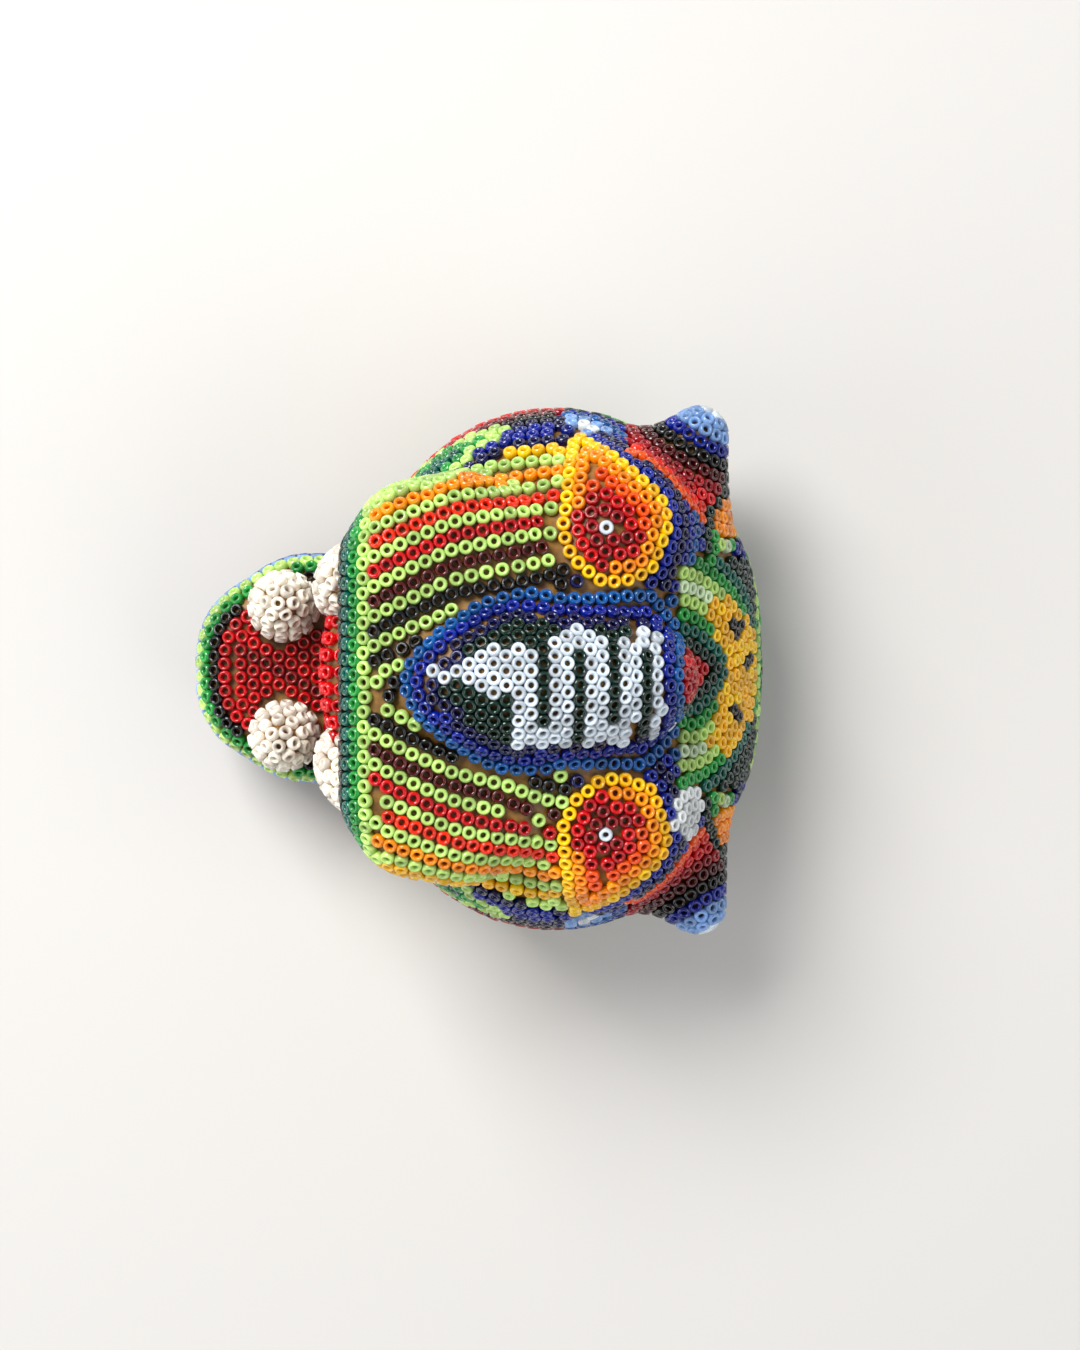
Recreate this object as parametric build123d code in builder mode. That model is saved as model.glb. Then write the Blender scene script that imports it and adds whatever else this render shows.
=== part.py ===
from build123d import *
import math
import os

# A beaded cat-head rattle: a carved wooden head, hollowed from below and closed by a wooden
# plug, with loose seeds inside. Every outer face is coated with wax, and glass seed beads are
# pressed into the wax. The head rests on its flat neck and looks up.
# -X points to the open mouth, +X to the forehead, +Y and -Y to the ears and +Z is up.
# The origin is the middle of the flat neck face. Everything is in millimetres.
# Shapes are given by the beads' outer face; "grow" moves them out, or in when it is negative.

# ---- layers
BEAD_HEIGHT = 1.2        # how far the beads stand above the wax
WAX_THICKNESS = 0.7
TO_WAX = -BEAD_HEIGHT
TO_WOOD = TO_WAX - WAX_THICKNESS
SKIRT = 0.8              # the wax and the beads end this far above the neck face
FAR = 70                 # past every face of the head

# ---- the skull
CRANIUM_CENTRE = (0, 0, 17)
CRANIUM_RADIUS = 31.7
CRANIUM_HALF_WIDTH = 38.5
CRANIUM_END_RADIUS = 27  # the round ends of its oval, towards the ears
FOREHEAD_CENTRE = (-13.7, 0, 3)
FOREHEAD_RADIUS = 46     # the forehead is flatter than the rest of the cranium
NOSE_CENTRE = (-3, 0, 42.4)
NOSE_RADIUS = 12.4
NOSE_HALF_LENGTH = 21
NOSE_TILT = 12           # degrees, the bridge falls towards the forehead
EYE_CENTRE = (6.5, 19.6, 31)
EYE_RADIUS = 14
MUZZLE_FRONT = -30.3
MUZZLE_BACK = 3
MUZZLE_HALF_WIDTH = 29.5
MUZZLE_BOTTOM = 31
MUZZLE_TOP = 50.5
MUZZLE_TILT = 9          # degrees, the muzzle falls towards the eyes
MUZZLE_CORNER_ROUND = 10  # seen from above
MUZZLE_TOP_ROUND = 8
MUZZLE_LIP_ROUND = 3.4

# ---- the mouth
JAW_FRONT = -53.2
JAW_BACK = -9
JAW_HALF_WIDTH = 17
JAW_BOTTOM = 2.5
JAW_FLOOR = 20.5
JAW_RIM_ROUND = 5.5
JAW_CHIN_ROUND = 7.5
JAW_CORNER_ROUND = 13    # seen from above
MOUTH_HALF_WIDTH = 15.5
MOUTH_BACK = -20
GUM_CENTRE = (-30.6, 0, 30.6)
GUM_RADIUS = 3.3
GUM_HALF_LENGTH = 10.5
LOWER_FANG_PLACE = (-39.6, 9.3, 19)
LOWER_FANG_RADIUS = 5.5
LOWER_FANG_HEIGHT = 10.5
LOWER_FANG_LEAN = 6      # degrees, outwards
UPPER_FANG_PLACE = (-29.6, 13.4, 32)
UPPER_FANG_DIRECTION = (-0.24, -0.4, -0.88)
UPPER_FANG_RADIUS = 4.8
UPPER_FANG_HEIGHT = 10

# ---- the ears
EAR_ROOT = (15.6, 25.4, 20.2)
EAR_DIRECTION = (0.5, 0.85, 0.15)
EAR_LENGTH = 14.8        # from the root to the tip
EAR_ROOT_RADIUS = 11.5
EAR_TIP_RADIUS = 4.4

# ---- the hollow for the seeds
SEAM = 19                # the skull's two halves meet at this height
CAVITY_CENTRE = (2, 0, 19.5)
CAVITY_RADIUS = 16
CAVITY_WIDTH = 40
CAVITY_ROUND = 6         # the rounding at its two ends
BORE_RADIUS = 12.8
BORE_TOP = 14
PLUG_CLEARANCE = 0.05
PLUG_FLANGE_RADIUS = 15.8
PLUG_FLANGE = 2
PLUG_TOP = 5
SEED_RADIUS = 2
SEED_RING_RADII = (0, 5.1, 10)
SEED_COUNTS = (1, 6, 8)
SEED_GAP = 0.2           # the seeds start this far above the plug

# ---- the fields of beads, as outlines seen from above, given for +Y
NOSE_OUTLINE = ((-22, 0), (-20, 4.5), (-16, 8), (-11.7, 11.2), (-8.6, 12.7), (-3.6, 13.3),
                (2, 12.4), (9, 12.6), (14, 12.4), (18, 7.5))
EYE_OUTLINE = ((2.8, 35.4), (1.2, 32), (0.4, 26), (0, 21), (1.6, 16.5), (6, 12.8), (10, 12.8),
               (14.2, 14.6), (16.8, 22), (15.4, 26), (9.5, 31.2))
PUPIL_CENTRE = (7, 21.2)
PUPIL_RADIUS = 1.05
LIP_BACK = -25.6         # the green rows of the lip end here
CHEEK_TOP = 33           # the cheeks lie below the whiskers
FOREHEAD_START = 18
FOREHEAD_HALF_WIDTH = 16
JAW_JOINT = -27          # the jaw is a separate carving, glued on at this plane
JAW_JOINT_TOP = 24
RIM_LINE = 17            # the red beads of the mouth end at this height on the jaw's rim
SIDE_START = 1.5         # the cheeks end and the temples begin
NAPE_TOP = 18            # the nape lies below the forehead and the temples


def mirrored(point, side):
    """A point or direction given for +Y, moved to the side asked for."""
    return (point[0], side * point[1], *point[2:])


def spheroid(radius, half_length, grow):
    """An ellipsoid of revolution about Z."""
    with BuildPart() as shape:
        with BuildSketch(Plane.XZ):
            Ellipse(radius + grow, half_length + grow)
            Rectangle(radius + 1, 2 * half_length + 2, align=(Align.MIN, Align.CENTER),
                      mode=Mode.SUBTRACT)
        revolve(axis=Axis.Z)
    return shape.part


def oval(grow):
    """The cranium turned about Z: a wide arc between two round ends."""
    end = CRANIUM_END_RADIUS + grow
    reach = CRANIUM_HALF_WIDTH - CRANIUM_END_RADIUS
    depth = CRANIUM_RADIUS - CRANIUM_END_RADIUS
    belt_radius = (reach ** 2 + depth ** 2) / (2 * depth) + CRANIUM_END_RADIUS
    belt_angle = math.atan2(reach, belt_radius - CRANIUM_RADIUS)
    middle_angle = (belt_angle + math.pi / 2) / 2
    side = (CRANIUM_RADIUS + grow, 0)
    join = (end * math.cos(belt_angle), reach + end * math.sin(belt_angle))
    round_end = (end * math.cos(middle_angle), reach + end * math.sin(middle_angle))
    pole = (0, reach + end)
    with BuildPart() as shape:
        with BuildSketch(Plane.XZ):
            with BuildLine():
                ThreePointArc((join[0], -join[1]), side, join)
                ThreePointArc(join, round_end, pole)
                Line(pole, (0, -pole[1]))
                ThreePointArc((0, -pole[1]), (round_end[0], -round_end[1]), (join[0], -join[1]))
            make_face()
        revolve(axis=Axis.Z)
    return shape.part


def muzzle(grow):
    """The broad muzzle that carries the whiskers, with a rounded lip."""
    slab = Plane(origin=(0, 0, MUZZLE_BOTTOM - grow))
    tilted_top = Plane(origin=(MUZZLE_FRONT, 0, MUZZLE_TOP + grow)).rotated((0, MUZZLE_TILT, 0))
    side_edge = (
        (MUZZLE_FRONT, MUZZLE_HALF_WIDTH - 11),
        (-25, MUZZLE_HALF_WIDTH - 2.5),
        (-13, MUZZLE_HALF_WIDTH),
        (MUZZLE_BACK, MUZZLE_HALF_WIDTH - 5),
    )
    with BuildPart() as shape:
        with BuildSketch(slab):
            with BuildLine():
                Polyline(*side_edge, *(mirrored(p, -1) for p in reversed(side_edge)), close=True)
            outline = make_face()
            fillet(outline.vertices(), MUZZLE_CORNER_ROUND)
            offset(amount=grow)
        extrude(amount=MUZZLE_TOP - MUZZLE_BOTTOM + 6)
        split(bisect_by=tilted_top, keep=Keep.BOTTOM)
        fillet(shape.faces().sort_by(Axis.Z)[-1].edges(), MUZZLE_TOP_ROUND + grow)
        fillet(shape.faces().sort_by(Axis.Z)[0].edges(), MUZZLE_LIP_ROUND + grow)
    return shape.part


def jaw(grow):
    """The lower jaw: a U-shaped slab with a flat floor and a full, rounded chin."""
    edge = (
        (JAW_BACK, JAW_HALF_WIDTH),
        (JAW_FRONT + 13, JAW_HALF_WIDTH),
        (JAW_FRONT, JAW_HALF_WIDTH - 8.5),
    )
    with BuildPart() as shape:
        with BuildSketch(Plane.XY.offset(JAW_BOTTOM - grow)):
            with BuildLine():
                Polyline(*edge, *(mirrored(p, -1) for p in reversed(edge)), close=True)
            outline = make_face()
            fillet(outline.vertices(), JAW_CORNER_ROUND)
            offset(amount=grow)
        extrude(amount=JAW_FLOOR - JAW_BOTTOM + 2 * grow)
        fillet(shape.faces().sort_by(Axis.Z)[-1].edges(), JAW_RIM_ROUND + grow)
        fillet(shape.faces().sort_by(Axis.Z)[0].edges(), JAW_CHIN_ROUND + grow)
    return shape.part


def mouth(grow):
    """The gap between the lip and the jaw."""
    width = 2 * (MOUTH_HALF_WIDTH - grow)
    height = MUZZLE_BOTTOM - JAW_FLOOR - 2 * grow
    with BuildPart() as gap:
        with Locations((MOUTH_BACK - grow, 0, JAW_FLOOR + grow)):
            Box(40, width, height, align=(Align.MAX, Align.CENTER, Align.MIN))
    return gap.part


def head(grow):
    """The whole head without the ears and the teeth, standing on its neck face."""
    tilt = math.radians(NOSE_TILT)
    across = Plane(origin=CRANIUM_CENTRE, x_dir=(0, 0, 1), z_dir=(0, 1, 0))
    along = Plane(
        origin=NOSE_CENTRE,
        x_dir=(math.sin(tilt), 0, math.cos(tilt)),
        z_dir=(math.cos(tilt), 0, -math.sin(tilt)),
    )
    cranium = oval(grow)
    nose = spheroid(NOSE_RADIUS, NOSE_HALF_LENGTH, grow)
    upper = muzzle(grow)
    lower = jaw(grow)
    gap = mouth(grow)
    with BuildPart() as shape:
        with Locations(across):
            add(cranium)
        with Locations(Location(FOREHEAD_CENTRE, (90, 0, 0))):
            Cylinder(FOREHEAD_RADIUS + grow, 2 * FAR, mode=Mode.INTERSECT)
        split(bisect_by=Plane.XY.offset(0 if grow == TO_WOOD else SKIRT), keep=Keep.TOP)
        with Locations(along):
            add(nose)
        with Locations(*(Location(mirrored(EYE_CENTRE, side), (0, 90, 0)) for side in (1, -1))):
            Sphere(EYE_RADIUS + grow)
        add(upper)
        add(lower)
        add(gap, mode=Mode.SUBTRACT)
    return shape.part


def tooth(place, direction, radius, length, grow):
    """A half-buried spheroid whose long axis leaves place along direction."""
    body = spheroid(radius, length, grow)
    with BuildPart() as shape:
        with Locations(Plane(origin=place, z_dir=direction)):
            add(body)
    return shape.part


def lower_fang(side, grow):
    lean = math.radians(LOWER_FANG_LEAN)
    direction = (0, side * math.sin(lean), math.cos(lean))
    place = mirrored(LOWER_FANG_PLACE, side)
    return tooth(place, direction, LOWER_FANG_RADIUS, LOWER_FANG_HEIGHT, grow)


def upper_fang(side, grow):
    place = mirrored(UPPER_FANG_PLACE, side)
    direction = mirrored(UPPER_FANG_DIRECTION, side)
    return tooth(place, direction, UPPER_FANG_RADIUS, UPPER_FANG_HEIGHT, grow)


def ear(side, grow):
    """A stubby cone with slightly hollow flanks and a round tip."""
    root = EAR_ROOT_RADIUS + grow
    tip = EAR_TIP_RADIUS + grow
    tip_start = EAR_LENGTH - EAR_TIP_RADIUS
    with BuildPart() as cone:
        with BuildSketch(Plane.XZ):
            with BuildLine():
                flank = Spline(
                    (root, 0), (0.5 * root + 0.5 * tip, tip_start / 2), (tip, tip_start),
                    tangents=((-0.6, 1), (-0.15, 1)),
                )
                point = CenterArc((0, tip_start), tip, 0, 90)
                Polyline(point @ 1, (0, -4), (root, -4), flank @ 0)
            make_face()
        revolve(axis=Axis.Z)
    with BuildPart() as shape:
        with Locations(Plane(origin=mirrored(EAR_ROOT, side), z_dir=mirrored(EAR_DIRECTION, side))):
            add(cone.part)
    return shape.part


def gum(grow):
    """The bar of gum under the lip, between the upper teeth."""
    bar = spheroid(GUM_RADIUS, GUM_HALF_LENGTH, grow)
    with BuildPart() as shape:
        with Locations(Plane(origin=GUM_CENTRE, x_dir=(-1, 0, 0), z_dir=(0, 1, 0))):
            add(bar)
    return shape.part


def block(x_range, y_range, z_range):
    """A box between the given limits, used to divide the beads into fields."""
    size = [high - low for low, high in (x_range, y_range, z_range)]
    with BuildPart() as shape:
        with Locations((x_range[0], y_range[0], z_range[0])):
            Box(*size, align=(Align.MIN, Align.MIN, Align.MIN))
    return shape.part


def column(points, bottom):
    """An upright column over a closed outline seen from above."""
    with BuildPart() as shape:
        with BuildSketch(Plane.XY.offset(bottom)):
            with BuildLine():
                Polyline(*points, close=True)
            make_face()
        extrude(amount=FAR)
    return shape.part


SIDES = {"right": 1, "left": -1}
ON_BASE = (Align.CENTER, Align.CENTER, Align.MIN)
os.makedirs("parts", exist_ok=True)

head_wood = head(TO_WOOD)
head_wax = head(TO_WAX)
head_outer = head(0)
fangs = {f"lower_fang_{name}": (lower_fang, side) for name, side in SIDES.items()}
fangs |= {f"upper_fang_{name}": (upper_fang, side) for name, side in SIDES.items()}
jaw_space = block((-FAR, JAW_JOINT), (-FAR, FAR), (-1, JAW_JOINT_TOP))

# ---- the carved skull in two halves, so that it can be hollowed, glued together at SEAM
with BuildPart() as hollow:
    with Locations(Location(CAVITY_CENTRE, (90, 0, 0))):
        Cylinder(CAVITY_RADIUS, CAVITY_WIDTH)
    fillet(hollow.edges().filter_by(GeomType.CIRCLE), CAVITY_ROUND)
    Cylinder(BORE_RADIUS, BORE_TOP, align=ON_BASE)
    Cylinder(PLUG_FLANGE_RADIUS, PLUG_FLANGE, align=ON_BASE)
for name, half in (("skull_core_top", Keep.TOP), ("skull_core_base", Keep.BOTTOM)):
    with BuildPart() as skull_core:
        add(head_wood)
        split(bisect_by=Plane.XY.offset(SEAM), keep=half)
        add(jaw_space, mode=Mode.SUBTRACT)
        add(hollow.part, mode=Mode.SUBTRACT)
    skull_core.part.label = name
    export_step(skull_core.part, f"parts/{name}.step")

# ---- the lower jaw, glued to the front of the skull
with BuildPart() as jaw_core:
    add(head_wood)
    add(jaw_space, mode=Mode.INTERSECT)
jaw_core.part.label = "jaw_core"
export_step(jaw_core.part, "parts/jaw_core.step")

# ---- the turned plug that closes the neck, flush with the neck face
with BuildPart() as base_plug:
    Cylinder(PLUG_FLANGE_RADIUS - PLUG_CLEARANCE, PLUG_FLANGE, align=ON_BASE)
    Cylinder(BORE_RADIUS - PLUG_CLEARANCE, PLUG_TOP, align=ON_BASE)
base_plug.part.label = "base_plug"
export_step(base_plug.part, "parts/base_plug.step")

# ---- the loose seeds, lying on the plug
seed_places = [
    (radius * math.cos(2 * math.pi * i / count), radius * math.sin(2 * math.pi * i / count))
    for radius, count in zip(SEED_RING_RADII, SEED_COUNTS)
    for i in range(count)
]
for number, (x, y) in enumerate(seed_places, start=1):
    with BuildPart() as seed:
        with Locations((x, y, PLUG_TOP + SEED_GAP + SEED_RADIUS)):
            Sphere(SEED_RADIUS)
    seed.part.label = f"seed_{number:02d}"
    export_step(seed.part, f"parts/seed_{number:02d}.step")

# ---- the carved ears with their wax and beads, one inside the other
for name, side in SIDES.items():
    with BuildPart() as ear_core:
        add(ear(side, TO_WOOD))
        add(head_wood, mode=Mode.SUBTRACT)
    ear_core.part.label = f"ear_core_{name}"
    export_step(ear_core.part, f"parts/ear_core_{name}.step")
    with BuildPart() as ear_wax:
        add(ear(side, TO_WAX))
        add(ear(side, TO_WOOD), mode=Mode.SUBTRACT)
        add(head_wood, mode=Mode.SUBTRACT)
    ear_wax.part.label = f"ear_wax_{name}"
    export_step(ear_wax.part, f"parts/ear_wax_{name}.step")
    with BuildPart() as ear_beads:
        add(ear(side, 0))
        add(ear(side, TO_WAX), mode=Mode.SUBTRACT)
        add(head_wax, mode=Mode.SUBTRACT)
    ear_beads.part.label = f"ear_beads_{name}"
    export_step(ear_beads.part, f"parts/ear_beads_{name}.step")

# ---- the teeth: a peg of wood in the wax, and a cap of beads
for name, (make, side) in fangs.items():
    with BuildPart() as fang_core:
        add(make(side, TO_WOOD))
        add(head_wood, mode=Mode.SUBTRACT)
    fang_core.part.label = f"{name}_core"
    export_step(fang_core.part, f"parts/{name}_core.step")
    with BuildPart() as fang_wax:
        add(make(side, TO_WAX))
        add(make(side, TO_WOOD), mode=Mode.SUBTRACT)
        add(head_wax, mode=Mode.SUBTRACT)
    fang_wax.part.label = f"{name}_wax"
    export_step(fang_wax.part, f"parts/{name}_wax.step")
    with BuildPart() as fang_beads:
        add(make(side, 0))
        add(make(side, TO_WAX), mode=Mode.SUBTRACT)
        add(head_wax, mode=Mode.SUBTRACT)
    fang_beads.part.label = f"{name}_beads"
    export_step(fang_beads.part, f"parts/{name}_beads.step")

# ---- the bar of gum, solid wax under its beads
with BuildPart() as gum_wax:
    add(gum(TO_WAX))
    add(head_wax, mode=Mode.SUBTRACT)
    for make, side in fangs.values():
        add(make(side, 0), mode=Mode.SUBTRACT)
gum_wax.part.label = "gum_wax"
export_step(gum_wax.part, "parts/gum_wax.step")
with BuildPart() as gum_beads:
    add(gum(0))
    add(gum(TO_WAX), mode=Mode.SUBTRACT)
    add(head_wax, mode=Mode.SUBTRACT)
    for make, side in fangs.values():
        add(make(side, 0), mode=Mode.SUBTRACT)
gum_beads.part.label = "gum_beads"
export_step(gum_beads.part, "parts/gum_beads.step")

# ---- the wax on the skull and on the jaw
above_seam = block((-FAR, FAR), (-FAR, FAR), (SEAM, FAR))
below_seam = block((-FAR, FAR), (-FAR, FAR), (-1, SEAM))
wax_spaces = {"skull_wax_top": above_seam, "skull_wax_base": below_seam, "jaw_wax": jaw_space}
for name, space in wax_spaces.items():
    with BuildPart() as wax:
        add(head_wax)
        add(space, mode=Mode.INTERSECT)
        add(head_wood, mode=Mode.SUBTRACT)
        if space is not jaw_space:
            add(jaw_space, mode=Mode.SUBTRACT)
        for make, side in fangs.values():
            add(make(side, TO_WOOD), mode=Mode.SUBTRACT)
        for side in SIDES.values():
            add(ear(side, TO_WAX), mode=Mode.SUBTRACT)
    wax.part.label = name
    export_step(wax.part, f"parts/{name}.step")

# ---- the beads of the head, one layer divided into its fields
with BuildPart() as bead_layer:
    add(head_outer)
    add(head_wax, mode=Mode.SUBTRACT)
    add(gum(0), mode=Mode.SUBTRACT)
    for make, side in fangs.values():
        add(make(side, 0), mode=Mode.SUBTRACT)
    for side in SIDES.values():
        add(ear(side, 0), mode=Mode.SUBTRACT)

with BuildPart() as pupil_right_space:
    with Locations((*PUPIL_CENTRE, MUZZLE_BOTTOM)):
        Cylinder(PUPIL_RADIUS, FAR, align=ON_BASE)
pupil_left_space = mirror(pupil_right_space.part, Plane.XZ)
nose_outline = [*NOSE_OUTLINE, *(mirrored(p, -1) for p in reversed(NOSE_OUTLINE[1:]))]
everywhere = (-FAR, FAR)
right_half = (0, FAR)
left_half = (-FAR, 0)
middle = (-FOREHEAD_HALF_WIDTH, FOREHEAD_HALF_WIDTH)
fields = {
    "pupil_bead_right": pupil_right_space.part,
    "pupil_bead_left": pupil_left_space,
    "nose_beads": column(nose_outline, MUZZLE_BOTTOM + 5),
    "eye_beads_right": column(EYE_OUTLINE, CHEEK_TOP - 8),
    "eye_beads_left": column([mirrored(p, -1) for p in EYE_OUTLINE], CHEEK_TOP - 8),
    "jaw_beads": block((-FAR, JAW_JOINT), everywhere, (-1, RIM_LINE)),
    "jaw_floor_beads": block((-FAR, JAW_JOINT), everywhere, (RIM_LINE, JAW_JOINT_TOP)),
    "palate_beads": block((-FAR, MOUTH_BACK + 4), (-17, 17), (JAW_FLOOR - 2, MUZZLE_BOTTOM + 1.5)),
    "lip_beads": block((-FAR, LIP_BACK), everywhere, (MUZZLE_BOTTOM - 0.5, FAR)),
    "whisker_beads_right": block((LIP_BACK, SIDE_START), right_half, (CHEEK_TOP, FAR)),
    "whisker_beads_left": block((LIP_BACK, SIDE_START), left_half, (CHEEK_TOP, FAR)),
    "cheek_beads_right": block((-FAR, SIDE_START), right_half, (-1, CHEEK_TOP)),
    "cheek_beads_left": block((-FAR, SIDE_START), left_half, (-1, CHEEK_TOP)),
    "forehead_beads": block((FOREHEAD_START, FAR), middle, (NAPE_TOP, FAR)),
    "nape_beads": block((SIDE_START, FAR), everywhere, (-1, NAPE_TOP)),
    "temple_beads_right": block((SIDE_START, FAR), right_half, (NAPE_TOP, FAR)),
    "temple_beads_left": block((SIDE_START, FAR), left_half, (NAPE_TOP, FAR)),
}
remaining = bead_layer.part
for name, space in fields.items():
    with BuildPart() as field:
        add(remaining)
        add(space, mode=Mode.INTERSECT)
    with BuildPart() as rest:
        add(remaining)
        add(space, mode=Mode.SUBTRACT)
    remaining = rest.part
    field.part.label = name
    export_step(field.part, f"parts/{name}.step")
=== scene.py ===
import math
import random

import bpy
import numpy as np
from mathutils import Matrix, Vector
from mathutils.kdtree import KDTree


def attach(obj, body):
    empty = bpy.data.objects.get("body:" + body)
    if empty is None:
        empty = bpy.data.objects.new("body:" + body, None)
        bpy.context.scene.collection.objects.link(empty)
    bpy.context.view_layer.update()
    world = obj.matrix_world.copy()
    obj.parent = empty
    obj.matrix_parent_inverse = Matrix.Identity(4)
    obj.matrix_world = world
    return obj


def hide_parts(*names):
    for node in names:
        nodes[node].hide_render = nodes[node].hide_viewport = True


# A hand-sized cat-head rattle covered with seed beads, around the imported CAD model. Shapes are
# worked out in the CAD's millimetres: -X is the mouth, +X the forehead, +Y and -Y the ears.
# The outer face is a smooth distance field. Rows of beads follow its level lines.

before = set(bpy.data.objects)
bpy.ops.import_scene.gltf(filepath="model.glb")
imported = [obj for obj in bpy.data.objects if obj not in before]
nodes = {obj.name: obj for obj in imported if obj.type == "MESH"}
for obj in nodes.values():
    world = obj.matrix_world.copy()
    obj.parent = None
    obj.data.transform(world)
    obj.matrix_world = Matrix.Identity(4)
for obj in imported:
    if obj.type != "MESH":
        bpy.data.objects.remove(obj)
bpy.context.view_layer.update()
chance = random.Random(11)
MM = 0.001

# ---- beads
PITCH = 2.06
ROW = 1.86               # rows lie closer than beads in a row, because they fit into each other
BEAD_RADIUS = 1.04
HOLE_RADIUS = 0.4
BEAD_HALF_HEIGHT = 0.68
BEAD_SEGMENTS = 14
BEAD_SECTION = 8
BEAD_SQUARENESS = 2.7    # 2 is a round section, more is squarer
BEAD_TILT = 0.05
BEAD_SIZES = (0.95, 1.02)
BEAD_SINK = 0.12
WAX_LEVEL = -1.2
WAX_THICKNESS = 0.6
SKIRT = 0.8              # a bare edge above the neck face
FANG_PITCH = 2.45        # wider at the face, because the beads lean together below it
NEAREST = 0.83           # a bead is left out if another is nearer than this many pitches
GAP = 0.83               # a bare spot this many pitches from every bead gets a bead
TOUCH = 0.985            # beads nearer than this many pitches are pushed apart
PUSH = 0.4
FANG_FIRST_ROW = 0.45

# ---- the head's shapes, as in the CAD
CRANIUM_CENTRE = (0, 0, 17)
CRANIUM_RADIUS = 31.7
CRANIUM_HALF_WIDTH = 38.5
CRANIUM_END_RADIUS = 27
FOREHEAD_CENTRE = (-13.7, 0, 3)
FOREHEAD_RADIUS = 46
NOSE_CENTRE = (-3, 0, 42.4)
NOSE_RADIUS = 12.4
NOSE_HALF_LENGTH = 21
BRIDGE_LENGTH = 23.5     # the bridge runs on towards the forehead, fuller than the CAD's
NOSE_TILT = math.radians(12)
EYE_CENTRE = (6.5, 19.6, 31)
EYE_RADIUS = 14
MUZZLE_EDGE = ((-30.3, 18.5), (-25, 27), (-13, 29.5), (3, 24.5))
MUZZLE_BOTTOM = 31
MUZZLE_TOP = 50.5
MUZZLE_TILT = math.radians(9)
MUZZLE_CORNER = 9
MUZZLE_TOP_ROUND = 8
MUZZLE_LIP_ROUND = 3.4
JAW_EDGE = ((-9, 17), (-40.2, 17), (-53.2, 8.5))
JAW_CORNER = 12
JAW_FLOOR = 20.5
JAW_RIM_ROUND = 5.5
JAW_BOTTOM = 2.5
JAW_CHIN_ROUND = 7.5
MOUTH_LOW = (-80, -15.5, 20.5)
MOUTH_HIGH = (-20, 15.5, 31)
GUM_CENTRE = (-30.6, 0, 30.6)
GUM_RADIUS = 3.3
GUM_HALF_LENGTH = 10.5
LOWER_FANG = ((-39.6, 9.3, 19), (0, 0.105, 0.995), 10.5, 5.5)
UPPER_FANG = ((-29.6, 13.4, 32), (-0.24, -0.4, -0.88), 10, 4.8)
EAR_ROOT = (15.6, 25.4, 20.2)
EAR_DIRECTION = (0.5, 0.85, 0.15)
EAR_AXIS_LENGTH = 10.4
EAR_ROOT_RADIUS = 9.8
EAR_TIP_RADIUS = 4.4
EAR_LENGTH = 14.8
SEAM = 19

# ---- how softly one shape runs into the next
FOREHEAD_BLEND = 1.5
SKULL_BLEND = 2.5
JAW_BLEND = 2
MOUTH_BLEND = 0.8
EAR_BLEND = 3

# ---- the fields of beads, as in the CAD
NOSE_OUTLINE = ((-22, 0), (-20, 4.5), (-16, 8), (-11.7, 11.2), (-8.6, 12.7), (-3.6, 13.3),
                (2, 12.4), (9, 12.6), (14, 12.4), (18, 7.5))
EYE_OUTLINE = ((2.8, 35.4), (1.2, 32), (0.4, 26), (0, 21), (1.6, 16.5), (6, 12.8), (10, 12.8),
               (14.2, 14.6), (16.8, 22), (15.4, 26), (9.5, 31.2))
PUPIL_CENTRE = (7, 21.2)
PUPIL_RADIUS = 1.05
LIP_BACK = -25.6
LIP_HALF_WIDTH = 25.5
CHEEK_TOP = 33
FOREHEAD_START = 18
FOREHEAD_HALF_WIDTH = 16
JAW_JOINT = -27
JAW_JOINT_TOP = 24
RIM_LINE = 17
SIDE_START = 1.5
NAPE_TOP = 18

# ---- the grids that the surfaces are found on
GRID = 0.8
FINE_GRID = 0.5
HEAD_LOW = (-56, -48, -2)
HEAD_HIGH = (36, 48, 58)
OUTLINE_STEPS = 24       # points along each edge of an outline set on the surface
DROP_HEIGHT = 60.0       # above the whole head
DROP_ROUNDS = 60
SKIRT_MARGIN = 0.9       # half a bead above the skirt
ROOT_MARGIN = 0.4        # around the gum and the fangs
CLEAR_OF_HEAD = 0.2


# ======== distance fields ========
def length(v):
    return np.sqrt((v * v).sum(-1))


def blend_min(a, b, k):
    h = np.clip(0.5 + 0.5 * (b - a) / k, 0, 1)
    return b + (a - b) * h - k * h * (1 - h)


def blend_max(a, b, k):
    return -blend_min(-a, -b, k)


def folded(p):
    """The same points with both sides of the head moved to +Y."""
    q = p.copy()
    q[:, 1] = np.abs(q[:, 1])
    return q


def spheroid(p, centre, axis, half_length, radius):
    q = p - np.array(centre)
    a = np.array(axis, float) / math.dist(axis, (0, 0, 0))
    t = q @ a
    r = np.sqrt(np.maximum((q * q).sum(-1) - t * t, 0))
    share = np.sqrt((t / half_length) ** 2 + (r / radius) ** 2)
    slope = np.sqrt((t / half_length ** 2) ** 2 + (r / radius ** 2) ** 2) + 1e-9
    return share * (share - 1) / slope


def both_sides(outline):
    return [*outline, *((x, -y) for x, y in reversed(outline) if y)]


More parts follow.
